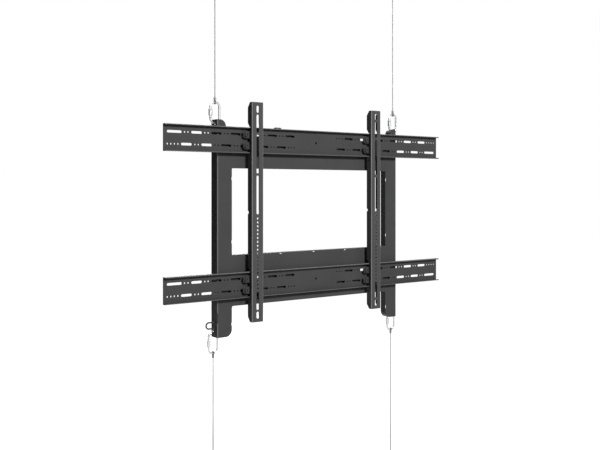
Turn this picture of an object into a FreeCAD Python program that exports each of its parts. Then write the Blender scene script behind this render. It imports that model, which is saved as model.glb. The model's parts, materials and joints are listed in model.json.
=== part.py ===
import FreeCAD, Part
import math
import os
import re
import Sketcher

# Cable-hung display mount: a pan-shaped back frame held between ceiling and floor
# wires, two slotted rails on its face and two arms that slide along the rails.
# Lengths in mm, +Z up, the display side faces -Y, zero at the ceiling between the wires.

doc = FreeCAD.newDocument("display_mount")
sheet = doc.addObject("Spreadsheet::Sheet", "dim")

sizes = [
    # heights of the whole hang
    ("ceiling_rise", 785),
    ("floor_fall", 930),
    # back frame, its edges set from the rails' middle lines
    ("frame_width", 734),
    ("frame_height", 664),
    ("frame_sheet", 2.5),
    ("column_wide", 51.5),
    ("ear_wide", 30),
    ("ear_rise", 62),
    ("leg_drop", 158),
    ("bar_rise", 34),
    ("bar_drop", 65),
    ("window_top_gap", 86),
    ("window_low_gap", 92),
    ("wall_deep", 24),
    ("side_deep", 36),
    ("frame_bend", 4),
    ("leg_round", 22),
    ("ear_round", 20),
    ("window_round", 3),
    ("crotch_round", 5),
    ("hook_back", 17),
    ("floor_back", 28),
    ("hook_top_inset", 12),
    ("hook_low_inset", 15),
    ("hook_hole", 10),
    ("ear_gap_wide", 21),
    ("sight_x", 212),
    ("sight_rise", 18),
    ("sight_hole", 24),
    ("fold_cut_from", 44),
    ("fold_cut_to", 75),
    ("fold_cut_wide", 2.2),
    ("fold_cut_deep", 2.2),
    ("tie_cut_long", 9),
    ("tie_cut_wide", 4.5),
    ("tie_cut_x", 132.5),
    ("tie_cut_top_inset", 32),
    ("tie_cut_low_inset", 40),
    ("tie_cut_leg", 38),
    # rails
    ("rail_long", 1110),
    ("rail_high", 80),
    ("rail_sheet", 2),
    ("rail_deep", 14),
    ("rail_lip", 3.6),
    ("rail_bend", 3),
    ("rail_stand", 10),
    ("row_rise", 18),
    ("slot_wide", 7.5),
    ("slot_long", 36),
    ("slot_pitch", 68),
    ("pin_hole", 4.8),
    ("pin_step", 11.5),
    ("pin_gap", 10.5),
    ("end_pin_from", 13.5),
    ("end_slot_from", 12),
    ("end_slot_to", 60.5),
    ("high_row_from", 92),
    ("low_row_from", 58),
    ("centre_hole", 7),
    # bolts from rail to frame
    ("bolt_x", 244),
    ("bolt_wide", 8),
    ("bolt_play", 0.3),
    ("bolt_head_wide", 14),
    ("bolt_head_high", 4.4),
    ("spacer_wide", 18),
    ("nut_flats", 13),
    ("nut_high", 6.5),
    ("bolt_over", 2),
    # arms
    ("left_arm_x", 246),
    ("right_arm_x", 238),
    ("arm_rise", 117.5),
    ("arm_drop", 115.5),
    ("arm_wide", 42),
    ("arm_deep", 24.5),
    ("arm_sheet", 2),
    ("arm_bend", 3),
    ("arm_stand", 27),
    ("arm_notch", 8),
    ("notch_over", 0.4),
    ("notch_under", 0.8),
    ("arm_taper_high", 14),
    ("arm_taper_deep", 10),
    ("arm_corner_high", 16),
    ("arm_corner_deep", 12),
    ("arm_nick", 10),
    ("arm_slot_wide", 9.5),
    ("tip_slot_from", 11),
    ("tip_slot_to", 32.5),
    ("high_slot_from", 38.2),
    ("high_slot_to", 94),
    ("rail_slot_from", 100),
    ("rail_slot_to", 219.5),
    ("middle_slot_from", 226),
    ("middle_slot_to", 345.5),
    ("low_slot_from", 37.5),
    ("low_slot_to", 93.5),
    ("foot_slot_from", 10.5),
    ("foot_slot_to", 32),
    ("arm_hole_from", 358),
    ("arm_hole_pitch", 12),
    ("arm_hole_wide", 6),
    # clamp brackets of the arms
    ("lock_gap", 0.5),
    ("lock_sheet", 3),
    ("lock_high", 74.8),
    ("lock_strip", 13),
    ("lock_neck_high", 60),
    ("lock_leg_high", 116),
    ("lock_leg_front", 4),
    ("lock_leg_back", 12),
    ("clamp_x", 33),
    ("clamp_rise", 17),
    ("clamp_wide", 8),
    ("clamp_head_wide", 14),
    ("clamp_head_high", 5),
    ("clamp_socket", 6),
    ("clamp_washer_wide", 22),
    ("clamp_washer_high", 1.6),
    ("clamp_tip_gap", 0.4),
    ("rivet_wide", 4),
    ("rivet_head_wide", 7),
    ("rivet_head_high", 1.4),
    ("rivet_rise", 50),
    ("rivet_back", 8),
    # snap hooks
    ("ring_half_wide", 15.5),
    ("ring_half_high", 31.5),
    ("ring_round", 13),
    ("ring_rod", 7),
    ("hinge_low", 14),
    ("gate_high", 25.5),
    ("nose_gap", 0.6),
    ("tongue_thick", 3),
    ("tongue_round", 3),
    ("gate_slot", 3.7),
    ("hinge_pin", 2.4),
    ("pin_play", 0.12),
    ("sleeve_wide", 12),
    ("sleeve_bore", 7.7),
    ("sleeve_long", 20),
    ("sleeve_up", 4.6),
    ("seat_gap", 0.05),
    # wires and their ends
    ("wire_wide", 3),
    ("eye_gap", 0.05),
    ("ferrule_wide", 7.5),
    ("ferrule_from", 4.6),
    ("ferrule_long", 10),
    ("plate_wide", 34),
    ("plate_long", 64),
    ("plate_thick", 5),
    ("plate_hole", 6.6),
    ("plate_hole_y", 23),
    ("boss_wide", 18),
    ("boss_high", 22),
    # spirit level and cable loop
    ("level_x", 137),
    ("level_wide", 22),
    ("level_deep", 10),
    ("level_high", 12),
    ("vial_sunk", 1.8),
    ("vial_wide", 6),
    ("vial_long", 17),
    ("loop_rise", 37),
    ("loop_back", 17),
    ("loop_half", 9.5),
    ("loop_reach", 20),
    ("loop_rod", 5),
    ("loop_tail", 7),
    ("loop_nut_wide", 10),
    ("loop_nut_high", 3),
]
for line, (alias, value) in enumerate(sizes, 1):
    sheet.set("A%d" % line, alias.replace("_", " "))
    sheet.set("B%d" % line, str(value))
    sheet.setAlias("B%d" % line, alias)
doc.recompute()

# Places that follow from those sizes, counted from the middle between the rails.
derived = {
    "frame_half": "$frame_width / 2",
    "rail_mid": "($frame_height - $ear_rise - $leg_drop) / 2",
    "ear_top": "$rail_mid + $ear_rise",
    "leg_low": "$rail_mid + $leg_drop",
    "bar_top": "$rail_mid + $bar_rise",
    "bar_low": "$rail_mid + $bar_drop",
    "window_top": "$rail_mid - $window_top_gap",
    "window_low": "$rail_mid - $window_low_gap",
    "hook_high": "$ear_top - $hook_top_inset",
    "hook_low": "$leg_low - $hook_low_inset",
    "loop_z": "$leg_low - $loop_rise",
    "slot_count": "floor(($rail_long / 2 - $high_row_from) / $slot_pitch)",
    "arm_top": "$rail_mid + $arm_rise",
    "arm_low": "$rail_mid + $arm_drop",
    "arm_hole_room": "$arm_top + $arm_low - $arm_hole_from - $low_slot_to - $arm_hole_wide",
    "arm_hole_count": "floor($arm_hole_room / $arm_hole_pitch) + 1",
}
probe = doc.addObject("App::FeaturePython", "probe")
probe.addProperty("App::PropertyFloat", "reading")


def full(text):
    # Sizes are written bare in this file, and bound by their full names.
    def spelled(match):
        word = match.group(1)
        if word in derived:
            return "(%s)" % full(derived[word])
        return "dim." + word
    return re.sub(r"\$(\w+)", spelled, text)


def value_of(text):
    probe.setExpression("reading", full(text))
    probe.recompute()
    return probe.reading


def bind(thing, **texts):
    for prop, text in texts.items():
        thing.setExpression(prop.replace("__", "."), full(text))


def place(thing, x, y, z):
    for axis, text in zip("xyz", (x, y, z)):
        thing.setExpression("Placement.Base." + axis, full(text))


def body_named(label):
    body = doc.addObject("PartDesign::Body", label)
    body.Label = label
    return body


def sketch_on(body, role, name, offset=None):
    sketch = body.newObject("Sketcher::SketchObject", name)
    plane = [one for one in body.Origin.OriginFeatures if one.Role == role][0]
    sketch.AttachmentSupport = (plane, [""])
    sketch.MapMode = "FlatFace"
    if offset:
        sketch.setExpression("AttachmentOffset.Base.z", full(offset))
    return sketch


def pin_point(sketch, shape, corner, x, y):
    for kind, axis, text in (("DistanceX", -2, x), ("DistanceY", -1, y)):
        value = value_of(text)
        if abs(value) < 1e-9:
            sketch.addConstraint(Sketcher.Constraint("PointOnObject", shape, corner, axis))
            continue
        index = sketch.addConstraint(Sketcher.Constraint(kind, -1, 1, shape, corner, value))
        sketch.setExpression("Constraints[%d]" % index, full(text))


def outline(sketch, points):
    spots = [FreeCAD.Vector(value_of(x), value_of(y), 0) for x, y in points]
    first = sketch.GeometryCount
    count = len(spots)
    for i in range(count):
        sketch.addGeometry(Part.LineSegment(spots[i], spots[(i + 1) % count]), False)
    for i in range(count):
        joined = Sketcher.Constraint("Coincident", first + i, 2, first + (i + 1) % count, 1)
        sketch.addConstraint(joined)
    for i, (x, y) in enumerate(points):
        pin_point(sketch, first + i, 1, x, y)


def box_outline(sketch, x0, x1, y0, y1):
    outline(sketch, [(x0, y0), (x1, y0), (x1, y1), (x0, y1)])


def circle(sketch, x, y, across):
    middle = FreeCAD.Vector(value_of(x), value_of(y), 0)
    radius = value_of(across) / 2
    shape = sketch.addGeometry(Part.Circle(middle, FreeCAD.Vector(0, 0, 1), radius), False)
    pin_point(sketch, shape, 3, x, y)
    index = sketch.addConstraint(Sketcher.Constraint("Diameter", shape, 2 * radius))
    sketch.setExpression("Constraints[%d]" % index, full(across))


def slot(sketch, x0, y0, x1, y1, across):
    # Round-ended slot from one end centre to the other.
    ends = [FreeCAD.Vector(value_of(x), value_of(y), 0) for x, y in ((x0, y0), (x1, y1))]
    radius = value_of(across) / 2
    along = math.atan2(ends[1].y - ends[0].y, ends[1].x - ends[0].x)
    side = FreeCAD.Vector(-math.sin(along), math.cos(along), 0) * radius
    axis = FreeCAD.Vector(0, 0, 1)
    quarter = math.pi / 2
    first = sketch.GeometryCount
    near = Part.ArcOfCircle(Part.Circle(ends[0], axis, radius), along + quarter, along + 3 * quarter)
    far = Part.ArcOfCircle(Part.Circle(ends[1], axis, radius), along - quarter, along + quarter)
    sketch.addGeometry(near, False)
    sketch.addGeometry(far, False)
    sketch.addGeometry(Part.LineSegment(ends[0] + side, ends[1] + side), False)
    sketch.addGeometry(Part.LineSegment(ends[0] - side, ends[1] - side), False)
    sketch.addConstraint(Sketcher.Constraint("Tangent", first, 1, first + 2, 1))
    sketch.addConstraint(Sketcher.Constraint("Tangent", first, 2, first + 3, 1))
    sketch.addConstraint(Sketcher.Constraint("Tangent", first + 2, 2, first + 1, 2))
    sketch.addConstraint(Sketcher.Constraint("Tangent", first + 3, 2, first + 1, 1))
    pin_point(sketch, first, 3, x0, y0)
    pin_point(sketch, first + 1, 3, x1, y1)
    index = sketch.addConstraint(Sketcher.Constraint("Diameter", first, 2 * radius))
    sketch.setExpression("Constraints[%d]" % index, full(across))


def pad(body, sketch, name, length, back=False, both=False, second=None):
    feature = body.newObject("PartDesign::Pad", name)
    feature.Profile = sketch
    feature.Reversed = back
    if both:
        feature.SideType = "Symmetric"
    if second:
        feature.SideType = "Two sides"
        feature.setExpression("Length2", full(second))
    feature.setExpression("Length", full(length))
    sketch.Visibility = False
    return feature


def pocket(body, sketch, name, length=None, back=False):
    feature = body.newObject("PartDesign::Pocket", name)
    feature.Profile = sketch
    feature.Reversed = back
    if length:
        feature.setExpression("Length", full(length))
    else:
        feature.Type = "ThroughAll"
        feature.SideType = "Symmetric"
    sketch.Visibility = False
    return feature


def edges_at(feature, spots, axis):
    # Edges along one axis that pass through the given places on the other two.
    doc.recompute()
    others = [i for i in range(3) if i != axis]
    found = []
    for i, edge in enumerate(feature.Shape.Edges, 1):
        ends = [vertex.Point for vertex in edge.Vertexes]
        if len(ends) != 2 or (ends[0] - ends[1]).Length - abs(ends[0][axis] - ends[1][axis]) > 1e-4:
            continue
        for spot in spots:
            if all(abs(ends[0][k] - place_k) < 0.01 for k, place_k in zip(others, spot)):
                found.append("Edge%d" % i)
    return found


def rounded(body, feature, name, radius, spots, axis):
    names = edges_at(feature, spots, axis)
    if len(names) != len(spots):
        raise RuntimeError("%s finds %d of %d edges" % (name, len(names), len(spots)))
    fillet = body.newObject("PartDesign::Fillet", name)
    fillet.Base = (feature, names)
    fillet.setExpression("Radius", full(radius))
    return fillet


def in_row(body, feature, sketch, name, along, length, count):
    pattern = body.newObject("PartDesign::LinearPattern", name)
    pattern.Originals = [feature]
    pattern.Direction = (sketch, [along])
    pattern.setExpression("Length", full(length))
    pattern.setExpression("Occurrences", full(count))
    body.Tip = pattern
    return pattern


def cylinder(name, across, high, x="0", y="0", z="0", turn=None):
    rod = doc.addObject("Part::Cylinder", name)
    bind(rod, Radius="(%s) / 2" % across, Height=high)
    if turn:
        rod.Placement.Rotation = FreeCAD.Rotation(*turn)
    place(rod, x, y, z)
    return rod


def tube(name, across, bore, high, x, y, z, turn=None):
    outer = cylinder(name + "_outer", across, high, x, y, z, turn)
    inner = cylinder(name + "_bore", bore, high, x, y, z, turn)
    ring = doc.addObject("Part::Cut", name)
    ring.Base = outer
    ring.Tool = inner
    return ring


def fused(name, shapes):
    whole = doc.addObject("Part::MultiFuse", name)
    whole.Shapes = shapes
    return whole


def group(label, members):
    whole = doc.addObject("Part::Compound", label)
    whole.Label = label
    whole.Links = members
    return whole


quarter_turn = 90
along_y = (FreeCAD.Vector(1, 0, 0), -quarter_turn)
along_x = (FreeCAD.Vector(0, 1, 0), quarter_turn)
nodes = []

# Heights and depths that several pieces share.
mid = "-$ceiling_rise"
frame_front = "-$hook_back"
rail_front = "(-$hook_back - $rail_stand - $rail_sheet)"
arm_front = "(-$hook_back - $rail_stand - $rail_sheet - $arm_stand)"
wire_x = "($frame_half - $frame_sheet / 2)"
lower_wire_y = "($floor_back - $hook_back)"

# Back frame: one deep-drawn sheet with walls round its window, ears and legs.
frame = body_named("back_frame")
face = sketch_on(frame, "XZ_Plane", "frame_face")
ear_in = "($frame_half - $ear_wide)"
leg_in = "($frame_half - $column_wide)"
right_side = [
    (leg_in, "-$bar_low"), (leg_in, "-$leg_low"), ("$frame_half", "-$leg_low"),
    ("$frame_half", "$ear_top"), (ear_in, "$ear_top"), (ear_in, "$bar_top"),
]
left_side = [("-" + x, z) for x, z in reversed(right_side)]
outline(face, right_side + left_side)
box_outline(face, "-" + leg_in, leg_in, "-$window_low", "$window_top")
block = pad(frame, face, "frame_block", "$wall_deep", back=True)


def frame_spots(x_text, z_text):
    x = value_of(x_text)
    z = value_of(z_text)
    return [(x, z), (-x, z)]


leg_ends = rounded(frame, block, "leg_ends", "$leg_round", frame_spots(leg_in, "-$leg_low"), 1)
ear_ends = rounded(frame, leg_ends, "ear_ends", "$ear_round", frame_spots(ear_in, "$ear_top"), 1)
crotch_spots = frame_spots(leg_in, "-$bar_low") + frame_spots(ear_in, "$bar_top")
crotches = rounded(frame, ear_ends, "crotches", "$crotch_round", crotch_spots, 1)
window_spots = frame_spots(leg_in, "-$window_low") + frame_spots(leg_in, "$window_top")
windowed = rounded(frame, crotches, "window_corners", "$window_round", window_spots, 1)
doc.recompute()
back_face = max(range(len(windowed.Shape.Faces)), key=lambda i: windowed.Shape.Faces[i].CenterOfMass.y)
shell = frame.newObject("PartDesign::Thickness", "frame_shell")
shell.Base = (windowed, ["Face%d" % (back_face + 1)])
shell.Reversed = True
shell.setExpression("Value", full("$frame_sheet"))
sides = sketch_on(frame, "XZ_Plane", "side_face")
for sign in ("", "-"):
    inner = "%s($frame_half - $frame_sheet)" % sign
    box_outline(sides, inner, sign + "$frame_half", "-$leg_low", "$ear_top")
walled = pad(frame, sides, "side_walls", "$side_deep", back=True)
bend_x = value_of("$frame_half")
rounded(frame, walled, "frame_bends", "$frame_bend", [(-bend_x, 0), (bend_x, 0)], 2)
hooks = sketch_on(frame, "YZ_Plane", "hook_face", "$frame_half")
circle(hooks, "$hook_back", "$hook_high", "$hook_hole")
circle(hooks, "$floor_back", "-$hook_low", "$hook_hole")
hook_cut = pocket(frame, hooks, "hook_holes", "$frame_sheet * 2")
hooks_left = sketch_on(frame, "YZ_Plane", "hook_face_left", "-$frame_half")
circle(hooks_left, "$hook_back", "$hook_high", "$hook_hole")
circle(hooks_left, "$floor_back", "-$hook_low", "$hook_hole")
for sign in ("+", "-"):
    circle(hooks_left, "$loop_back", "-$loop_z %s $loop_half" % sign, "$loop_rod + $bolt_play")
pocket(frame, hooks_left, "hook_holes_left", "$frame_sheet * 2", back=True)
ear_gaps = sketch_on(frame, "XY_Plane", "ear_gap_face", "$ear_top")
for sign in ("", "-"):
    ear_outer = "%s($frame_half - $frame_sheet)" % sign
    ear_inner = "%s($frame_half - $frame_sheet - $ear_gap_wide)" % sign
    box_outline(ear_gaps, ear_inner, ear_outer, "$frame_sheet", "$wall_deep + $frame_sheet")
pocket(frame, ear_gaps, "ear_gaps", "$frame_sheet * 2")
folds = sketch_on(frame, "XZ_Plane", "fold_face")
for sign in ("", "-"):
    inner = "%s($frame_half - $fold_cut_wide)" % sign
    outer = "%s($frame_half + $frame_sheet)" % sign
    box_outline(folds, inner, outer, "-$leg_low + $fold_cut_from", "-$leg_low + $fold_cut_to")
pocket(frame, folds, "fold_windows", "$fold_cut_deep")
ties = sketch_on(frame, "XZ_Plane", "tie_face")
tie_heights = [
    "$window_top - $tie_cut_top_inset",
    "-$window_low + $tie_cut_low_inset",
    "-$leg_low + $tie_cut_leg",
]
for sign in ("", "-"):
    inner = "%s(%s - $frame_sheet)" % (sign, leg_in)
    outer = "%s(%s + $tie_cut_wide)" % (sign, leg_in)
    for height in tie_heights:
        box_outline(ties, inner, outer, height + " - $tie_cut_long / 2", height + " + $tie_cut_long / 2")
for x in ("-$tie_cut_x", "0", "$tie_cut_x"):
    edge = "-$window_low"
    near = x + " - $tie_cut_long / 2"
    far = x + " + $tie_cut_long / 2"
    box_outline(ties, near, far, edge + " - $tie_cut_wide", edge + " + $frame_sheet")
pocket(frame, ties, "tie_cuts", "$frame_sheet")
holes = sketch_on(frame, "XZ_Plane", "hole_face")
for sign in ("", "-"):
    for rail in ("", "-"):
        circle(holes, sign + "$bolt_x", rail + "$rail_mid", "$bolt_wide + $bolt_play")
        circle(holes, sign + "$sight_x", "%s$rail_mid + $sight_rise" % rail, "$sight_hole")
pocket(frame, holes, "rail_holes", "$frame_sheet * 2")
place(frame, "0", frame_front, mid)
nodes.append(frame)

# Rails: lipped channels with two staggered rows of slots, alike when turned half round.
rails = []
end_pins = 4
for label, sign in (("upper_rail", ""), ("lower_rail", "-")):
    rail = body_named(label)
    section = sketch_on(rail, "YZ_Plane", label + "_section")
    top = "($rail_high / 2)"
    lip_in = "-($rail_deep - $rail_sheet)"
    half = [
        ("$rail_sheet", top), ("-$rail_deep", top), ("-$rail_deep", top + " - $rail_lip"),
        (lip_in, top + " - $rail_lip"), (lip_in, top + " - $rail_sheet"), ("0", top + " - $rail_sheet"),
    ]
    outline(section, half + [(y, "-(%s)" % z) for y, z in reversed(half)])
    channel = pad(rail, section, label + "_channel", "$rail_long", both=True)
    doc.recompute()
    bends = []
    for y in ("$rail_sheet", "-$rail_deep"):
        for z in ("1", "-1"):
            bends.append((value_of(y), value_of(top + " * " + z)))
    rounded(rail, channel, label + "_bends", "$rail_bend", bends, 0)
    end = "-$rail_long / 2"
    rows = [
        ("high", "$row_rise", "$high_row_from", "-"),
        ("low", "-$row_rise", "$low_row_from + $slot_long", "+"),
    ]
    for row, rise, pin_side, away in rows:
        unit = sketch_on(rail, "XZ_Plane", "%s_%s_slot" % (label, row))
        near = "%s + $%s_row_from + $slot_wide / 2" % (end, row)
        far = "%s + $%s_row_from + $slot_long - $slot_wide / 2" % (end, row)
        slot(unit, near, rise, far, rise, "$slot_wide")
        first_pin = "%s + %s %s $pin_gap" % (end, pin_side, away)
        circle(unit, first_pin, rise, "$pin_hole")
        circle(unit, "%s %s $pin_step" % (first_pin, away), rise, "$pin_hole")
        cut = pocket(rail, unit, "%s_%s_cut" % (label, row), "$rail_sheet * 2")
        spread = rail.newObject("PartDesign::MultiTransform", "%s_%s_row" % (label, row))
        spread.Originals = [cut]
        line = rail.newObject("PartDesign::LinearPattern", "%s_%s_line" % (label, row))
        line.Direction = (unit, ["H_Axis"])
        line.setExpression("Length", full("$slot_pitch * ($slot_count - 1)"))
        line.setExpression("Occurrences", full("$slot_count"))
        turn = rail.newObject("PartDesign::PolarPattern", "%s_%s_turn" % (label, row))
        turn.Axis = (unit, ["N_Axis"])
        turn.Angle = 360
        turn.Occurrences = 2
        spread.Transformations = [line, turn]
        rail.Tip = spread
    ends = sketch_on(rail, "XZ_Plane", label + "_end_slots")
    last_pin = "$low_row_from + $slot_pitch * ($slot_count - 1) + $slot_long + $pin_gap + 2 * $pin_step"
    pins = ["$end_pin_from + %d * $pin_step" % step for step in range(end_pins)] + [last_pin]
    for half_sign, pin_z in (("", "-$row_rise"), ("-", "$row_rise")):
        near = "%s(%s + $end_slot_from + $slot_wide / 2)" % (half_sign, end)
        far = "%s(%s + $end_slot_to - $slot_wide / 2)" % (half_sign, end)
        slot(ends, near, half_sign + "$row_rise", far, half_sign + "$row_rise", "$slot_wide")
        for pin in pins:
            circle(ends, "%s(%s + %s)" % (half_sign, end, pin), pin_z, "$pin_hole")
        circle(ends, half_sign + "$bolt_x", "0", "$bolt_wide + $bolt_play")
    circle(ends, "0", "0", "$centre_hole")
    pocket(rail, ends, label + "_end_cut", "$rail_sheet * 2")
    place(rail, "0", rail_front, "%s + %s$rail_mid" % (mid, sign))
    rails.append(rail)
nodes.extend(rails)

# Bolts that hold each rail off the frame on spacers, with nuts behind the sheet.
bolts = []
spacers = []
nuts = []
for place_name, x in (("left", "-$bolt_x"), ("right", "$bolt_x")):
    for rail_name, z in (("upper", "$rail_mid"), ("lower", "-$rail_mid")):
        tag = "%s_%s" % (rail_name, place_name)
        level = "%s + %s" % (mid, z)
        grip = "$rail_sheet + $rail_stand + $frame_sheet + $nut_high + $bolt_over"
        shank = cylinder("shank_" + tag, "$bolt_wide", grip, x, rail_front, level, along_y)
        crown_y = "%s - $bolt_head_high" % rail_front
        crown = cylinder("crown_" + tag, "$bolt_head_wide", "$bolt_head_high", x, crown_y, level, along_y)
        bolts.append(fused("bolt_" + tag, [shank, crown]))
        stand_y = "%s + $rail_sheet" % rail_front
        bore = "$bolt_wide + $bolt_play"
        spacers.append(tube("spacer_" + tag, "$spacer_wide", bore, "$rail_stand", x, stand_y, level, along_y))
        flats = doc.addObject("Part::Prism", "flats_" + tag)
        flats.Polygon = 6
        bind(flats, Circumradius="$nut_flats / sqrt(3)", Height="$nut_high")
        flats.Placement.Rotation = FreeCAD.Rotation(*along_y)
        nut_y = "%s + $frame_sheet" % frame_front
        place(flats, x, nut_y, level)
        thread = cylinder("thread_" + tag, "$bolt_wide", "$nut_high", x, nut_y, level, along_y)
        nut = doc.addObject("Part::Cut", "nut_" + tag)
        nut.Base = flats
        nut.Tool = thread
        nuts.append(nut)
nodes.append(group("rail_bolts", bolts))
nodes.append(group("rail_spacers", spacers))
nodes.append(group("rail_nuts", nuts))

# Spirit level on the frame's upper edge, its vial lying in a round groove.
level = body_named("level_holder")
plan = sketch_on(level, "XY_Plane", "level_plan")
box_outline(plan, "-$level_wide / 2", "$level_wide / 2", "-$level_deep / 2", "$level_deep / 2")
pad(level, plan, "level_block", "$level_high")
groove = sketch_on(level, "YZ_Plane", "level_groove")
circle(groove, "0", "$level_high - $vial_sunk", "$vial_wide")
vial_room = level.newObject("PartDesign::Pocket", "vial_room")
vial_room.Profile = groove
vial_room.SideType = "Symmetric"
vial_room.setExpression("Length", full("$vial_long"))
groove.Visibility = False
level_y = "(%s + $wall_deep / 2)" % frame_front
place(level, "-$level_x", level_y, "%s + $bar_top" % mid)
vial_z = "%s + $bar_top + $level_high - $vial_sunk" % mid
vial_x = "-$level_x - $vial_long / 2"
vial = cylinder("level_vial", "$vial_wide", "$vial_long", vial_x, level_y, vial_z, along_x)
nodes.extend([level, vial])

# Cable loop: a bent rod whose two ends pass the left side wall into press-on nuts.
loop = body_named("cable_loop")
path = sketch_on(loop, "XZ_Plane", "loop_path")
reach = value_of("-$loop_reach")
tail = value_of("$loop_tail")
rise = value_of("$loop_half")
turn_middle = FreeCAD.Vector(reach, 0, 0)
path.addGeometry(Part.LineSegment(FreeCAD.Vector(tail, rise, 0), FreeCAD.Vector(reach, rise, 0)), False)
bend = Part.ArcOfCircle(Part.Circle(turn_middle, FreeCAD.Vector(0, 0, 1), rise), math.pi / 2, 3 * math.pi / 2)
path.addGeometry(bend, False)
path.addGeometry(Part.LineSegment(FreeCAD.Vector(reach, -rise, 0), FreeCAD.Vector(tail, -rise, 0)), False)
path.addConstraint(Sketcher.Constraint("Tangent", 0, 2, 1, 1))
path.addConstraint(Sketcher.Constraint("Tangent", 1, 2, 2, 1))
pin_point(path, 0, 1, "$loop_tail", "$loop_half")
pin_point(path, 2, 2, "$loop_tail", "-$loop_half")
pin_point(path, 1, 3, "-$loop_reach", "0")
rod = sketch_on(loop, "YZ_Plane", "loop_rod_face", "$loop_tail")
circle(rod, "0", "$loop_half", "$loop_rod")
swept = loop.newObject("PartDesign::AdditivePipe", "loop_sweep")
swept.Profile = rod
swept.Spine = path
path.Visibility = False
rod.Visibility = False
loop_y = "%s + $loop_back" % frame_front
place(loop, "-$frame_half", loop_y, "%s - $loop_z" % mid)
nodes.append(loop)
loop_nuts = []
for name, sign in (("high", "+"), ("low", "-")):
    nut_x = "-$frame_half + $frame_sheet"
    nut_z = "%s - $loop_z %s $loop_half" % (mid, sign)
    loop_nuts.append(tube(
        "loop_nut_" + name, "$loop_nut_wide", "$loop_rod", "$loop_nut_high", nut_x, loop_y, nut_z, along_x))
nodes.append(group("loop_nuts", loop_nuts))


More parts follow.
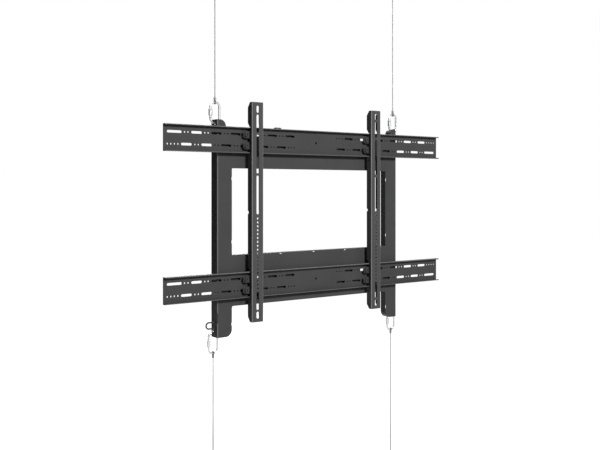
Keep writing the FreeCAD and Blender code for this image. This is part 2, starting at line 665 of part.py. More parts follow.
# Snap hooks: a bent rod, a hinged gate and a screw sleeve that slides up over the nose.
def snap_hook(tag, x, y, z, flip):
    spin = FreeCAD.Rotation(FreeCAD.Vector(1, 0, 0), 180 if flip else 0)
    side = "-" if flip else ""
    ring = body_named("hook_" + tag)
    track = sketch_on(ring, "XZ_Plane", "hook_track_" + tag)
    wide = value_of("$ring_half_wide")
    high = value_of("$ring_half_high")
    bow = value_of("$ring_round")
    nose = value_of("-$hinge_low + $gate_high + $nose_gap")
    in_x = wide - bow
    in_z = high - bow
    corners = [(-in_x, -in_z), (in_x, -in_z), (in_x, in_z), (-in_x, in_z)]
    quarter = math.pi / 2
    spans = [(2 * quarter, 3 * quarter), (3 * quarter, 4 * quarter), (0, quarter), (quarter, 2 * quarter)]
    arcs = []
    for (cx, cz), (a0, a1) in zip(corners, spans):
        round_end = Part.Circle(FreeCAD.Vector(cx, cz, 0), FreeCAD.Vector(0, 0, 1), bow)
        arcs.append(track.addGeometry(Part.ArcOfCircle(round_end, a0, a1), False))
    lines = []
    straight = [
        ((-in_x, -high), (in_x, -high)), ((wide, -in_z), (wide, in_z)),
        ((in_x, high), (-in_x, high)), ((-wide, in_z), (-wide, nose)),
    ]
    for (ax, az), (bx, bz) in straight:
        piece = Part.LineSegment(FreeCAD.Vector(ax, az, 0), FreeCAD.Vector(bx, bz, 0))
        lines.append(track.addGeometry(piece, False))
    for i in range(4):
        track.addConstraint(Sketcher.Constraint("Tangent", arcs[i], 2, lines[i], 1))
    for i in range(3):
        track.addConstraint(Sketcher.Constraint("Tangent", lines[i], 2, arcs[i + 1], 1))
    inset = "($ring_half_wide - $ring_round)"
    drop_in = "($ring_half_high - $ring_round)"
    pin_point(track, arcs[0], 3, "-" + inset, "-" + drop_in)
    pin_point(track, arcs[1], 3, inset, "-" + drop_in)
    pin_point(track, arcs[2], 3, inset, drop_in)
    pin_point(track, arcs[3], 3, "-" + inset, drop_in)
    pin_point(track, arcs[0], 1, "-$ring_half_wide", "-" + drop_in)
    pin_point(track, lines[3], 2, "-$ring_half_wide", "-$hinge_low + $gate_high + $nose_gap")
    round_face = sketch_on(ring, "XY_Plane", "hook_rod_" + tag, "-" + drop_in)
    circle(round_face, "-$ring_half_wide", "0", "$ring_rod")
    sweep = ring.newObject("PartDesign::AdditivePipe", "hook_sweep_" + tag)
    sweep.Profile = round_face
    sweep.Spine = track
    track.Visibility = False
    round_face.Visibility = False
    tongue = sketch_on(ring, "XZ_Plane", "hook_tongue_" + tag)
    hinge_line = "-$ring_half_wide"
    root = "-%s - $tongue_round / 3" % drop_in
    slot(tongue, hinge_line, root, hinge_line, "-$hinge_low", "$tongue_round * 2")
    pad(ring, tongue, "hook_tongue_pad_" + tag, "$tongue_thick", both=True)
    pin_room = sketch_on(ring, "XZ_Plane", "hook_pin_face_" + tag)
    circle(pin_room, "-$ring_half_wide", "-$hinge_low", "$hinge_pin")
    pocket(ring, pin_room, "hook_pin_room_" + tag)
    ring.Placement.Rotation = spin
    place(ring, x, y, z)
    hinge_x = "%s - $ring_half_wide" % x
    hinge_z = "%s - %s$hinge_low" % (z, side)

    gate = body_named("gate_" + tag)
    half = sketch_on(gate, "XZ_Plane", "gate_half_" + tag)
    radius = value_of("$ring_rod / 2")
    tall = value_of("$gate_high")
    half.addGeometry(Part.LineSegment(FreeCAD.Vector(radius, 0, 0), FreeCAD.Vector(radius, tall, 0)), False)
    half.addGeometry(Part.LineSegment(FreeCAD.Vector(radius, tall, 0), FreeCAD.Vector(0, tall, 0)), False)
    half.addGeometry(Part.LineSegment(FreeCAD.Vector(0, tall, 0), FreeCAD.Vector(0, -radius, 0)), False)
    ball = Part.Circle(FreeCAD.Vector(0, 0, 0), FreeCAD.Vector(0, 0, 1), radius)
    half.addGeometry(Part.ArcOfCircle(ball, -math.pi / 2, 0), False)
    for i in range(4):
        half.addConstraint(Sketcher.Constraint("Coincident", i, 2, (i + 1) % 4, 1))
    half.addConstraint(Sketcher.Constraint("Coincident", 3, 3, -1, 1))
    pin_point(half, 0, 1, "$ring_rod / 2", "0")
    pin_point(half, 0, 2, "$ring_rod / 2", "$gate_high")
    pin_point(half, 1, 2, "0", "$gate_high")
    half.addConstraint(Sketcher.Constraint("PointOnObject", 2, 2, -2))
    turned = gate.newObject("PartDesign::Revolution", "gate_turn_" + tag)
    turned.Profile = half
    turned.ReferenceAxis = (half, ["V_Axis"])
    turned.Angle = 360
    half.Visibility = False
    fork = sketch_on(gate, "YZ_Plane", "gate_fork_" + tag)
    box_outline(fork, "-$gate_slot / 2", "$gate_slot / 2", "-$ring_rod", "$tongue_round + $nose_gap")
    pocket(gate, fork, "gate_fork_cut_" + tag)
    eyes = sketch_on(gate, "XZ_Plane", "gate_pin_face_" + tag)
    circle(eyes, "0", "0", "$hinge_pin + $pin_play")
    pocket(gate, eyes, "gate_pin_room_" + tag)
    gate.Placement.Rotation = spin
    place(gate, hinge_x, y, hinge_z)

    axle_y = "%s - $ring_rod / 2" % y
    axle = cylinder("gate_pin_" + tag, "$hinge_pin", "$ring_rod", hinge_x, axle_y, hinge_z, along_y)

    low = "$sleeve_up" if not flip else "-$sleeve_up - $sleeve_long"
    sleeve_z = "%s + %s" % (hinge_z, low)
    sleeve = tube("sleeve_" + tag, "$sleeve_wide", "$sleeve_bore", "$sleeve_long", hinge_x, y, sleeve_z)
    nodes.extend([ring, gate, axle, sleeve])


# Taut wires: an eye round each snap hook, a ferrule and a straight run to a bolted plate.
def hung_wire(tag, x, y, ring_z, flip):
    side = "-" if flip else "+"
    eye_z = "%s %s $ring_half_high" % (ring_z, side)
    eye = doc.addObject("Part::Torus", "wire_eye_" + tag)
    bind(eye, Radius1="$ring_rod / 2 + $eye_gap + $wire_wide / 2", Radius2="$wire_wide / 2")
    eye.Placement.Rotation = FreeCAD.Rotation(*along_x)
    place(eye, x, y, eye_z)
    near = "$ferrule_from"
    far = "$ferrule_from + $ferrule_long"
    if flip:
        ferrule_z = "%s - (%s)" % (eye_z, far)
        plate_face = "%s - $floor_fall" % mid
        run = "-(%s) + %s - (%s) - $boss_high" % (plate_face, eye_z, far)
        wire_z = "%s + $boss_high" % plate_face
    else:
        ferrule_z = "%s + %s" % (eye_z, near)
        run = "-(%s + %s) - $boss_high" % (eye_z, far)
        wire_z = "%s + %s" % (eye_z, far)
    ferrule = cylinder("wire_ferrule_" + tag, "$ferrule_wide", "$ferrule_long", x, y, ferrule_z)
    rope = cylinder("wire_" + tag, "$wire_wide", run, x, y, wire_z)
    nodes.extend([eye, ferrule, rope])


def anchor_plate(label, x, y, z, up):
    anchor = body_named(label)
    ground = sketch_on(anchor, "XY_Plane", label + "_plan")
    long_half = "(($plate_long - $plate_wide) / 2)"
    slot(ground, "0", "-" + long_half, "0", long_half, "$plate_wide")
    pad(anchor, ground, label + "_sheet", "$plate_thick")
    stem = sketch_on(anchor, "XY_Plane", label + "_stem")
    circle(stem, "0", "0", "$boss_wide")
    pad(anchor, stem, label + "_boss", "$boss_high")
    fixing = sketch_on(anchor, "XY_Plane", label + "_fixing")
    for sign in ("", "-"):
        circle(fixing, "0", sign + "$plate_hole_y", "$plate_hole")
    pocket(anchor, fixing, label + "_holes")
    anchor.Placement.Rotation = FreeCAD.Rotation(FreeCAD.Vector(1, 0, 0), 0 if up else 180)
    place(anchor, x, y, z)
    nodes.append(anchor)


seat = "(($hook_hole - $ring_rod) / 2 - $seat_gap)"
upper_ring = "(%s + $hook_high + %s + $ring_half_high)" % (mid, seat)
lower_ring = "(%s - $hook_low - %s - $ring_half_high)" % (mid, seat)
for hand, sign in (("left", "-"), ("right", "")):
    x = sign + wire_x
    snap_hook("upper_" + hand, x, "0", upper_ring, False)
    snap_hook("lower_" + hand, x, lower_wire_y, lower_ring, True)
    hung_wire("upper_" + hand, x, "0", upper_ring, False)
    hung_wire("lower_" + hand, x, lower_wire_y, lower_ring, True)
    anchor_plate("ceiling_plate_" + hand, x, "0", "0", False)
    anchor_plate("floor_plate_" + hand, x, lower_wire_y, "%s - $floor_fall" % mid, True)

# Arms: notched channels over both rails, each with two brackets that clamp inside the rails.
def display_arm(hand, x):
    label = hand + "_arm"
    arm = body_named(label)
    section = sketch_on(arm, "XY_Plane", label + "_section")
    half = "($arm_wide / 2)"
    inner = "($arm_wide / 2 - $arm_sheet)"
    right_wall = [(half, "0"), (half, "$arm_deep"), (inner, "$arm_deep"), (inner, "$arm_sheet")]
    left_wall = [("-" + wall_x, wall_y) for wall_x, wall_y in reversed(right_wall)]
    outline(section, right_wall + left_wall)
    channel = pad(arm, section, label + "_channel", "$arm_top", second="$arm_low")
    doc.recompute()
    edge = value_of(half)
    rounded(arm, channel, label + "_bends", "$arm_bend", [(-edge, 0), (edge, 0)], 2)
    sides = sketch_on(arm, "YZ_Plane", label + "_notches")
    beyond = "$arm_deep + $arm_sheet"
    for rail in ("$rail_mid", "-$rail_mid"):
        over = "%s + $rail_high / 2 + $notch_over" % rail
        under = "%s - $rail_high / 2 - $notch_under" % rail
        slope_top = over + " + $arm_taper_high"
        outline(sides, [
            ("$arm_notch", under), (beyond, under), (beyond, slope_top),
            ("$arm_deep", slope_top), ("$arm_deep - $arm_taper_deep", over), ("$arm_notch", over),
        ])
    for tip, inward in (("$arm_top", "-"), ("-$arm_low", "+")):
        outside = "+" if inward == "-" else "-"
        outline(sides, [
            ("$arm_deep - $arm_corner_deep", "%s %s $arm_sheet" % (tip, outside)),
            (beyond, "%s %s $arm_sheet" % (tip, outside)),
            (beyond, "%s %s $arm_corner_high" % (tip, inward)),
            ("$arm_deep", "%s %s $arm_corner_high" % (tip, inward)),
            ("$arm_deep - $arm_corner_deep", tip),
        ])
    circle(sides, "$arm_deep", "0", "$arm_nick")
    pocket(arm, sides, label + "_notch_cut")
    web = sketch_on(arm, "XZ_Plane", label + "_slots")
    for name in ("tip", "high", "rail", "middle"):
        start = "$arm_top - $%s_slot_from - $arm_slot_wide / 2" % name
        stop = "$arm_top - $%s_slot_to + $arm_slot_wide / 2" % name
        slot(web, "0", start, "0", stop, "$arm_slot_wide")
    for name in ("low", "foot"):
        start = "-$arm_low + $%s_slot_to - $arm_slot_wide / 2" % name
        stop = "-$arm_low + $%s_slot_from + $arm_slot_wide / 2" % name
        slot(web, "0", start, "0", stop, "$arm_slot_wide")
    pocket(arm, web, label + "_slot_cut", "$arm_sheet * 2")
    rivet_face = sketch_on(arm, "YZ_Plane", label + "_rivet_face", "-" + half)
    for rail in ("$rail_mid", "-$rail_mid"):
        for sign in ("+", "-"):
            circle(rivet_face, "$rivet_back", "%s %s $rivet_rise" % (rail, sign), "$rivet_wide")
    pocket(arm, rivet_face, label + "_rivet_cut", "$arm_sheet * 2", back=True)
    hole = sketch_on(arm, "XZ_Plane", label + "_hole")
    circle(hole, "0", "$arm_top - $arm_hole_from", "$arm_hole_wide")
    first = pocket(arm, hole, label + "_hole_cut", "$arm_sheet * 2")
    row_long = "$arm_hole_pitch * ($arm_hole_count - 1)"
    row = in_row(arm, first, hole, label + "_hole_row", "V_Axis", row_long, "$arm_hole_count")
    row.Reversed = True
    place(arm, x, arm_front, mid)
    nodes.append(arm)

    screws = []
    washers = []
    rivets = []
    plate_front = "($arm_stand - $rail_deep + $rail_sheet + $lock_gap)"
    for rail_name, rail in (("upper", "$rail_mid"), ("lower", "-$rail_mid")):
        tag = "%s_%s" % (hand, rail_name)
        level = "%s + %s" % (mid, rail)
        lock = body_named("%s_lock_%s" % (label, rail_name))
        plate = sketch_on(lock, "XY_Plane", "lock_plate_" + tag)
        plate_back = plate_front + " + $lock_sheet"
        box_outline(plate, "-" + inner, "-%s + $lock_strip" % inner, plate_front, plate_back)
        pad(lock, plate, "lock_plate_pad_" + tag, "$lock_high", both=True)
        ears = sketch_on(lock, "XZ_Plane", "lock_ears_" + tag, "-" + plate_front)
        for sign in ("", "-"):
            ear_z = sign + "$clamp_rise"
            slot(ears, "-$clamp_x", ear_z, "-" + inner, ear_z, "$clamp_washer_wide")
        pad(lock, ears, "lock_ears_pad_" + tag, "$lock_sheet", back=True)
        leg_in = "(-%s + $lock_sheet)" % inner
        for name, back in (("neck", plate_back), ("leg", "$lock_leg_back")):
            wall = sketch_on(lock, "XY_Plane", "lock_%s_%s" % (name, tag))
            box_outline(wall, "-" + inner, leg_in, "$lock_leg_front", back)
            pad(lock, wall, "lock_%s_pad_%s" % (name, tag), "$lock_%s_high" % name, both=True)
        threads = sketch_on(lock, "XZ_Plane", "lock_threads_" + tag)
        for sign in ("", "-"):
            circle(threads, "-$clamp_x", sign + "$clamp_rise", "$clamp_wide")
        pocket(lock, threads, "lock_thread_cut_" + tag)
        rivet_holes = sketch_on(lock, "YZ_Plane", "lock_rivets_" + tag, "-" + inner)
        for sign in ("", "-"):
            circle(rivet_holes, "$rivet_back", sign + "$rivet_rise", "$rivet_wide")
        pocket(lock, rivet_holes, "lock_rivet_cut_" + tag, "$lock_sheet * 2", back=True)
        place(lock, x, arm_front, level)
        nodes.append(lock)
        for row_name, sign in (("high", "+"), ("low", "-")):
            part_tag = "%s_%s" % (tag, row_name)
            clamp_x = "%s - $clamp_x" % x
            clamp_z = "%s %s $clamp_rise" % (level, sign)
            washer_y = "%s + %s - $clamp_washer_high" % (arm_front, plate_front)
            head_y = "%s - $clamp_head_high" % washer_y
            tip = "$arm_stand - %s + $clamp_washer_high - $clamp_tip_gap" % plate_front
            head = cylinder(
                "clamp_head_" + part_tag, "$clamp_head_wide", "$clamp_head_high",
                clamp_x, head_y, clamp_z, along_y)
            stem = cylinder("clamp_stem_" + part_tag, "$clamp_wide", tip, clamp_x, washer_y, clamp_z, along_y)
            whole = fused("clamp_whole_" + part_tag, [head, stem])
            key = doc.addObject("Part::Prism", "clamp_key_" + part_tag)
            key.Polygon = 6
            bind(key, Circumradius="$clamp_socket / sqrt(3)", Height="$clamp_head_high * 0.6")
            key.Placement.Rotation = FreeCAD.Rotation(*along_y)
            place(key, clamp_x, head_y, clamp_z)
            screw = doc.addObject("Part::Cut", "clamp_screw_" + part_tag)
            screw.Base = whole
            screw.Tool = key
            screws.append(screw)
            washer_bore = "$clamp_wide + $bolt_play"
            washers.append(tube(
                "clamp_washer_" + part_tag, "$clamp_washer_wide", washer_bore, "$clamp_washer_high",
                clamp_x, washer_y, clamp_z, along_y))
            rivet_y = "%s + $rivet_back" % arm_front
            rivet_z = "%s %s $rivet_rise" % (level, sign)
            outer_x = "%s - %s" % (x, half)
            stack = "$arm_sheet + $lock_sheet"
            pin = cylinder("rivet_pin_" + part_tag, "$rivet_wide", stack, outer_x, rivet_y, rivet_z, along_x)
            cap_x = "%s - $rivet_head_high" % outer_x
            cap = cylinder(
                "rivet_cap_" + part_tag, "$rivet_head_wide", "$rivet_head_high",
                cap_x, rivet_y, rivet_z, along_x)
            tail_x = "%s + %s" % (outer_x, stack)
            end = cylinder(
                "rivet_end_" + part_tag, "$rivet_head_wide", "$rivet_head_high",
                tail_x, rivet_y, rivet_z, along_x)
            rivets.append(fused("rivet_" + part_tag, [pin, cap, end]))
    nodes.append(group(label + "_screws", screws))
    nodes.append(group(label + "_washers", washers))
    nodes.append(group(label + "_rivets", rivets))


display_arm("left", "-$left_arm_x")
display_arm("right", "$right_arm_x")

doc.removeObject(probe.Name)
doc.recompute()
for thing in doc.Objects:
    if "Invalid" in thing.State or "Error" in thing.State:
        raise RuntimeError("%s is not built: %s" % (thing.Name, thing.State))
for node in nodes:
    if node.Shape.isNull() or not node.Shape.isValid():
        raise RuntimeError("%s has no valid shape" % node.Label)

os.makedirs("parts", exist_ok=True)
for node in nodes:
    node.Shape.exportStep("parts/%s.step" % node.Label)
print("wrote %d parts" % len(nodes))
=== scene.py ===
import bpy
import bmesh
import json
import math
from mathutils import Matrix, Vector


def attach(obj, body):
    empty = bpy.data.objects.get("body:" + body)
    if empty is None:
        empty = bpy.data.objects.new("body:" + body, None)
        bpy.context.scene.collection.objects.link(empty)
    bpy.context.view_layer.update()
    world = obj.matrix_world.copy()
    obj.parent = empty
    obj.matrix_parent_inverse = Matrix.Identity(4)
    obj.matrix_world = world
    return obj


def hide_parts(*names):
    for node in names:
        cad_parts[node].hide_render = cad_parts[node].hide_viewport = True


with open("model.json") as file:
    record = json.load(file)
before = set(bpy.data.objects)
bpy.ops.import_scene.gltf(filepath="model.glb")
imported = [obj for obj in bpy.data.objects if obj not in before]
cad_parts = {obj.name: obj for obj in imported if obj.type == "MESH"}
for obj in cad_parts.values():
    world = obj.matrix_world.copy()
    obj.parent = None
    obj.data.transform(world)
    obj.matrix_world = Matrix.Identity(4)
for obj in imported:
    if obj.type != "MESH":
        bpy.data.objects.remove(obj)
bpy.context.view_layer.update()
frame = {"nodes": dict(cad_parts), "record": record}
nodes = frame["nodes"]
print("frame loaded:", len(nodes), "solids")

scene = bpy.context.scene
scene.view_settings.view_transform = "Standard"
plainWhite = (1, 1, 1, 1)


# small helpers for node trees
def freshMaterial(name):
    material = bpy.data.materials.new(name)
    material.use_nodes = True
    tree = material.node_tree
    return material, tree, tree.nodes["Principled BSDF"]


def addNode(tree, kind, sockets=None, operation=None):
    node = tree.nodes.new(kind)
    if operation:
        node.operation = operation
    for key, value in (sockets or {}).items():
        node.inputs[key].default_value = value
    return node


def largestOf(tree, values):
    largest = values[0]
    for value in values[1:]:
        larger = addNode(tree, "ShaderNodeMath", operation="MAXIMUM")
        tree.links.new(largest, larger.inputs[0])
        tree.links.new(value, larger.inputs[1])
        largest = larger.outputs[0]
    return largest


def objectSpace(tree, scale=(1, 1, 1), turn=(0, 0, 0)):
    coords = tree.nodes.new("ShaderNodeTexCoord")
    mapping = addNode(tree, "ShaderNodeMapping", {"Scale": scale, "Rotation": turn})
    tree.links.new(coords.outputs["Object"], mapping.inputs["Vector"])
    return mapping.outputs["Vector"]


def noise(tree, grain):
    node = addNode(tree, "ShaderNodeTexNoise", grain)
    tree.links.new(objectSpace(tree), node.inputs["Vector"])
    return node.outputs["Fac"]


def shaded(colour, shade):
    return tuple(c * shade for c in colour)


def ramp(tree, source, places, colours):
    node = tree.nodes.new("ShaderNodeValToRGB")
    for element, place, colour in zip(node.color_ramp.elements, places, colours):
        element.position = place
        element.color = (*colour, 1)
    tree.links.new(source, node.inputs["Fac"])
    return node.outputs["Color"]


def unevenGloss(tree, shader, source, look):
    # roughness drifts below and above its written value
    below, above = look["glossDrift"]
    gloss = addNode(tree, "ShaderNodeMapRange",
                    {"To Min": look["rough"] - below, "To Max": look["rough"] + above})
    tree.links.new(source, gloss.inputs["Value"])
    tree.links.new(gloss.outputs["Result"], shader.inputs["Roughness"])


def fineRelief(tree, shader, source, relief):
    bump = addNode(tree, "ShaderNodeBump", relief)
    tree.links.new(source, bump.inputs["Height"])
    tree.links.new(bump.outputs["Normal"], shader.inputs["Normal"])


# black powder coat: fine orange peel, faint cloudiness, low gloss, with a painted highlight: paler
# colour on the bends
coatLook = {"base": (0.056, 0.056, 0.057), "lift": (0.063, 0.063, 0.064),
            "cloud": {"Scale": 9, "Detail": 3.0, "Roughness": 0.6}, "cloudBand": (0.3, 0.7),
            "peel": {"Scale": 900, "Detail": 2.0, "Roughness": 0.5},
            "relief": {"Strength": 0.12, "Distance": 0.0004},
            "rough": 0.34, "glossDrift": (0.05, 0.07), "specular": 0.07,
            "paintedBendHighlight": (0.205, 0.205, 0.207), "bendFrom": 0.985, "bendFull": 0.87}


def onBends(tree, look):
    # a flat face points along one axis, a bend between two
    coords = tree.nodes.new("ShaderNodeTexCoord")
    unsigned = addNode(tree, "ShaderNodeVectorMath", operation="ABSOLUTE")
    parts = tree.nodes.new("ShaderNodeSeparateXYZ")
    tree.links.new(coords.outputs["Normal"], unsigned.inputs[0])
    tree.links.new(unsigned.outputs["Vector"], parts.inputs["Vector"])
    band = addNode(tree, "ShaderNodeMapRange",
                   {"From Min": look["bendFrom"], "From Max": look["bendFull"]})
    tree.links.new(largestOf(tree, [parts.outputs[a] for a in "XYZ"]), band.inputs["Value"])
    return band.outputs["Result"]


def powderCoat(name, look, shade=1.0):
    material, tree, shader = freshMaterial(name)
    peel = noise(tree, look["peel"])
    colour = ramp(tree, noise(tree, look["cloud"]), look["cloudBand"],
                  (shaded(look["base"], shade), shaded(look["lift"], shade)))
    # painted highlight: bends are coloured paler to stand in for the sheen they catch from the
    # light
    if look["paintedBendHighlight"]:
        withPaintedHighlight = addNode(tree, "ShaderNodeMixRGB", {"Color2": (*shaded(look["paintedBendHighlight"], shade), 1)})
        tree.links.new(onBends(tree, look), withPaintedHighlight.inputs["Fac"])
        tree.links.new(colour, withPaintedHighlight.inputs["Color1"])
        colour = withPaintedHighlight.outputs["Color"]
    tree.links.new(colour, shader.inputs["Base Color"])
    unevenGloss(tree, shader, peel, look)
    fineRelief(tree, shader, peel, look["relief"])
    shader.inputs["Specular IOR Level"].default_value = look["specular"]
    return material


# bright zinc: metal with a slightly patchy passivated sheen
zincLook = {"base": (0.62, 0.63, 0.64), "dull": (0.42, 0.43, 0.44),
            "patch": {"Scale": 160, "Detail": 4.0, "Roughness": 0.65}, "patchBand": (0.32, 0.62),
            "rough": 0.22, "glossDrift": (0.06, 0.12)}


def brightZinc(name, look, shade=1.0):
    material, tree, shader = freshMaterial(name)
    patch = noise(tree, look["patch"])
    colour = ramp(tree, patch, look["patchBand"],
                  (shaded(look["dull"], shade), shaded(look["base"], shade)))
    tree.links.new(colour, shader.inputs["Base Color"])
    unevenGloss(tree, shader, patch, look)
    shader.inputs["Metallic"].default_value = 1.0
    return material


# stranded rope: slanting bands round the wire
ropeLook = {"light": (0.29, 0.29, 0.30), "dark": (0.12, 0.12, 0.13),
            "lay": {"Scale": 420, "Distortion": 0.4}, "layBand": (0.15, 0.6),
            "slant": math.radians(32), "relief": {"Strength": 0.5, "Distance": 0.0003},
            "rough": 0.38, "metal": 0.85}


def strandedRope(name, look):
    material, tree, shader = freshMaterial(name)
    lay = addNode(tree, "ShaderNodeTexWave", look["lay"])
    lay.bands_direction = "Z"
    slanted = objectSpace(tree, turn=(look["slant"], look["slant"], 0))
    tree.links.new(slanted, lay.inputs["Vector"])
    strands = lay.outputs["Fac"]
    colour = ramp(tree, strands, look["layBand"], (look["dark"], look["light"]))
    tree.links.new(colour, shader.inputs["Base Color"])
    fineRelief(tree, shader, strands, look["relief"])
    shader.inputs["Roughness"].default_value = look["rough"]
    shader.inputs["Metallic"].default_value = look["metal"]
    return material


# tinted vial of the level
vialLook = {"tint": (0.62, 0.78, 0.16), "paler": 1.15, "swirl": {"Scale": 240.0, "Detail": 2.0},
            "swirlBand": (0.4, 0.6), "rough": 0.06, "clear": 0.6, "ior": 1.49}


def tintedVial(name, look):
    material, tree, shader = freshMaterial(name)
    colour = ramp(tree, noise(tree, look["swirl"]), look["swirlBand"],
                  (look["tint"], shaded(look["tint"], look["paler"])))
    tree.links.new(colour, shader.inputs["Base Color"])
    shader.inputs["Roughness"].default_value = look["rough"]
    shader.inputs["Transmission Weight"].default_value = look["clear"]
    shader.inputs["IOR"].default_value = look["ior"]
    return material


# moulded holder of the vial
holderLook = {"base": (0.03, 0.03, 0.032), "paler": 1.25, "grain": {"Scale": 1400.0, "Detail": 2.0},
              "grainBand": (0.35, 0.65), "relief": {"Strength": 0.2, "Distance": 0.0002},
              "rough": 0.55}


def mouldedPlastic(name, look):
    material, tree, shader = freshMaterial(name)
    grain = noise(tree, look["grain"])
    colour = ramp(tree, grain, look["grainBand"],
                  (look["base"], shaded(look["base"], look["paler"])))
    tree.links.new(colour, shader.inputs["Base Color"])
    fineRelief(tree, shader, grain, look["relief"])
    shader.inputs["Roughness"].default_value = look["rough"]
    return material


fastenerLook = dict(coatLook, rough=0.36, paintedBendHighlight=None, peel=dict(coatLook["peel"], Scale=1500))
anchorLook = dict(zincLook, rough=0.34)
ferruleLook = dict(zincLook, rough=0.4, patch=dict(zincLook["patch"], Scale=420))
shades = {"arms": 1.25, "fasteners": 0.9, "anchors": 0.8, "ferrules": 0.34}

armCoat = powderCoat("armCoat", coatLook, shades["arms"])
blackFastener = powderCoat("blackFastener", fastenerLook, shades["fasteners"])
rope = strandedRope("strandedRope", ropeLook)
finishes = {"black_powder_coat": powderCoat("blackCoat", coatLook),
            "black_fastener": blackFastener,
            "black_wire": blackFastener,
            "black_plastic": mouldedPlastic("holderPlastic", holderLook),
            "vial": tintedVial("vialGlass", vialLook),
            "bright_zinc": brightZinc("brightZinc", zincLook),
            "steel_rope": rope,
            "ferrule": brightZinc("pressedFerrule", ferruleLook, shades["ferrules"]),
            "zinc_plate": brightZinc("anchorZinc", anchorLook, shades["anchors"])}
for entry in frame["record"]["subparts"]:
    node = nodes[entry["node"]]
    node.data.materials.clear()
    node.data.materials.append(finishes[entry["material_slot"]])
for name in ("left_arm", "right_arm"):
    nodes[name].data.materials[0] = armCoat
print("finishes on every solid")

# heights of the mount's middle and of the floor, with the ceiling at zero
hanging = {"belowCeiling": 0.785, "aboveFloor": 0.930}
midZ = -hanging["belowCeiling"]
floorZ = midZ - hanging["aboveFloor"]

# taut wires, from each ferrule to its plate
wireSize = {"across": 0.003, "wireX": 0.36575, "upperY": 0.0, "lowerY": 0.011,
            "upperFrom": 0.3511, "lowerFrom": -0.444, "boss": 0.022,
            "along": (0, 0.35, 0.7, 1), "order": 3, "roundSteps": 4}


def tautWire(level, hand, x, y, start, stop):
    tag = level + "_" + hand
    curve = bpy.data.curves.new("ropeRun_" + tag, "CURVE")
    curve.dimensions = "3D"
    curve.bevel_depth = wireSize["across"] / 2
    curve.bevel_resolution = wireSize["roundSteps"]
    curve.use_fill_caps = True
    curve.materials.append(rope)
    spline = curve.splines.new("NURBS")
    spline.points.add(len(wireSize["along"]) - 1)
    for point, part in zip(spline.points, wireSize["along"]):
        point.co = (x, y, start + (stop - start) * part, 1)
    spline.order_u = wireSize["order"]
    spline.use_endpoint_u = True
    run = bpy.data.objects.new("rope_" + tag, curve)
    scene.collection.objects.link(run)
    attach(run, "mount")
    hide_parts("wire_" + tag)


for hand, side in (("left", -1), ("right", 1)):
    wireX = side * wireSize["wireX"]
    tautWire("upper", hand, wireX, wireSize["upperY"],
             midZ + wireSize["upperFrom"], -wireSize["boss"])
    tautWire("lower", hand, wireX, wireSize["lowerY"],
             midZ + wireSize["lowerFrom"], floorZ + wireSize["boss"])
print("four taut wires")


def stageSheet(name, half, z, material):
    mesh = bpy.data.meshes.new(name)
    bm = bmesh.new()
    bmesh.ops.create_grid(bm, x_segments=1, y_segments=1, size=half)
    bmesh.ops.translate(bm, verts=bm.verts, vec=(0, 0, z))
    bm.to_mesh(mesh)
    bm.free()
    mesh.materials.append(material)
    sheet = bpy.data.objects.new(name, mesh)
    scene.collection.objects.link(sheet)
    return sheet


def lightOrSeen(tree, output, lighting, seen):
    # camera, mirror and glass rays meet what is seen, all others the lighting
    path = tree.nodes.new("ShaderNodeLightPath")
    rays = ("Is Camera Ray", "Is Glossy Ray", "Is Transmission Ray")
    mix = tree.nodes.new("ShaderNodeMixShader")
    tree.links.new(largestOf(tree, [path.outputs[ray] for ray in rays]), mix.inputs["Fac"])
    tree.links.new(lighting.outputs[0], mix.inputs[1])
    tree.links.new(seen.outputs[0], mix.inputs[2])
    tree.links.new(mix.outputs[0], output.inputs["Surface"])


# pale floor: white to the camera, with the shadow kept round the feet
floorLook = {"half": 14.0, "bounce": (0.55, 0.55, 0.55, 1), "shadowed": (0.5, 0.5, 0.5, 1),
             "nearGlow": 0.74, "farGlow": 1.0, "shadowReach": 0.7, "shadowFade": 1.1}


def paleFloor(name, look):
    material, tree, _ = freshMaterial(name)
    tree.nodes.clear()
    bounce = addNode(tree, "ShaderNodeBsdfDiffuse", {"Color": look["bounce"]})
    shadowed = addNode(tree, "ShaderNodeBsdfDiffuse", {"Color": look["shadowed"]})
    away = addNode(tree, "ShaderNodeVectorMath", operation="LENGTH")
    tree.links.new(objectSpace(tree, scale=(1, 1, 0)), away.inputs[0])
    fade = addNode(tree, "ShaderNodeMapRange",
                   {"From Min": look["shadowReach"], "From Max": look["shadowFade"],
                    "To Min": look["nearGlow"], "To Max": look["farGlow"]})
    tree.links.new(away.outputs["Value"], fade.inputs["Value"])
    glow = addNode(tree, "ShaderNodeEmission", {"Color": plainWhite})
    tree.links.new(fade.outputs["Result"], glow.inputs["Strength"])
    seen = tree.nodes.new("ShaderNodeAddShader")
    tree.links.new(shadowed.outputs[0], seen.inputs[0])
    tree.links.new(glow.outputs[0], seen.inputs[1])
    lightOrSeen(tree, tree.nodes.new("ShaderNodeOutputMaterial"), bounce, seen)
    return material


stageSheet("studioFloor", floorLook["half"], floorZ, paleFloor("paleFloor", floorLook))

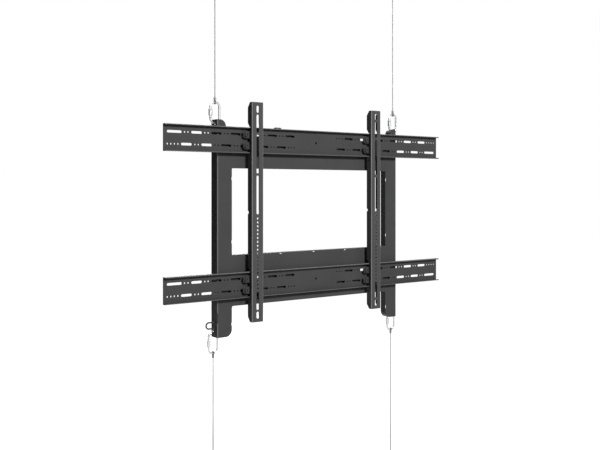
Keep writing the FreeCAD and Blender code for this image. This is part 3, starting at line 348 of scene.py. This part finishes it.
# surroundings: a little fill light, white where they are seen
surround = {"fill": 0.045, "seen": 1.0}
world = bpy.data.worlds.new("studioWorld")
scene.world = world
world.use_nodes = True
worldTree = world.node_tree
worldTree.nodes.clear()
fill, seen = (addNode(worldTree, "ShaderNodeBackground",
                      {"Color": plainWhite, "Strength": surround[part]})
              for part in ("fill", "seen"))
lightOrSeen(worldTree, worldTree.nodes.new("ShaderNodeOutputWorld"), fill, seen)

# black flag behind on the left: only mirror rays meet it
flag = {"place": (-3.2, 3.0, midZ), "half": 3.0, "cloth": (0.004, 0.004, 0.004, 1)}
flagMaterial, _, flagShader = freshMaterial("flagCloth")
flagShader.inputs["Base Color"].default_value = flag["cloth"]
flagShader.inputs["Specular IOR Level"].default_value = 0.0
blackFlag = stageSheet("blackFlag", flag["half"], 0, flagMaterial)
blackFlag.location = flag["place"]
towardsMount = Vector((-flag["place"][0], -flag["place"][1], 0))
blackFlag.rotation_euler = towardsMount.to_track_quat("Z", "Y").to_euler()
blackFlag.visible_camera = False
blackFlag.visible_diffuse = False
blackFlag.visible_transmission = False
blackFlag.visible_shadow = False

# soft panels: the key in front, a weak one behind that keeps the back readable
panels = {"keyPanel": {"place": (-0.25, -3.30, 0.70), "size": (0.9, 0.5), "power": 132},
          "backPanel": {"place": (1.1, 3.2, 0.6), "size": (1.6, 1.0), "power": 70}}
for name, panel in panels.items():
    lamp = bpy.data.lights.new(name, "AREA")
    lamp.shape = "RECTANGLE"
    lamp.size, lamp.size_y = panel["size"]
    lamp.energy = panel["power"]
    stand = bpy.data.objects.new(name, lamp)
    stand.location = panel["place"]
    aim = Vector((0, 0, midZ)) - Vector(panel["place"])
    stand.rotation_euler = aim.to_track_quat("-Z", "Y").to_euler()
    scene.collection.objects.link(stand)

# camera at the photograph's angle
view = {"place": (-1.660, -2.200, -0.711), "yaw": 36.3, "lens": 50.0, "sensor": 36.0,
        "shiftY": -0.061}
optics = bpy.data.cameras.new("photoCamera")
optics.lens = view["lens"]
optics.sensor_width = view["sensor"]
optics.shift_y = view["shiftY"]
camera = bpy.data.objects.new("photoCamera", optics)
camera.location = view["place"]
camera.rotation_euler = (math.pi / 2, 0, -math.radians(view["yaw"]))
scene.collection.objects.link(camera)
scene.camera = camera
print("studio and camera")
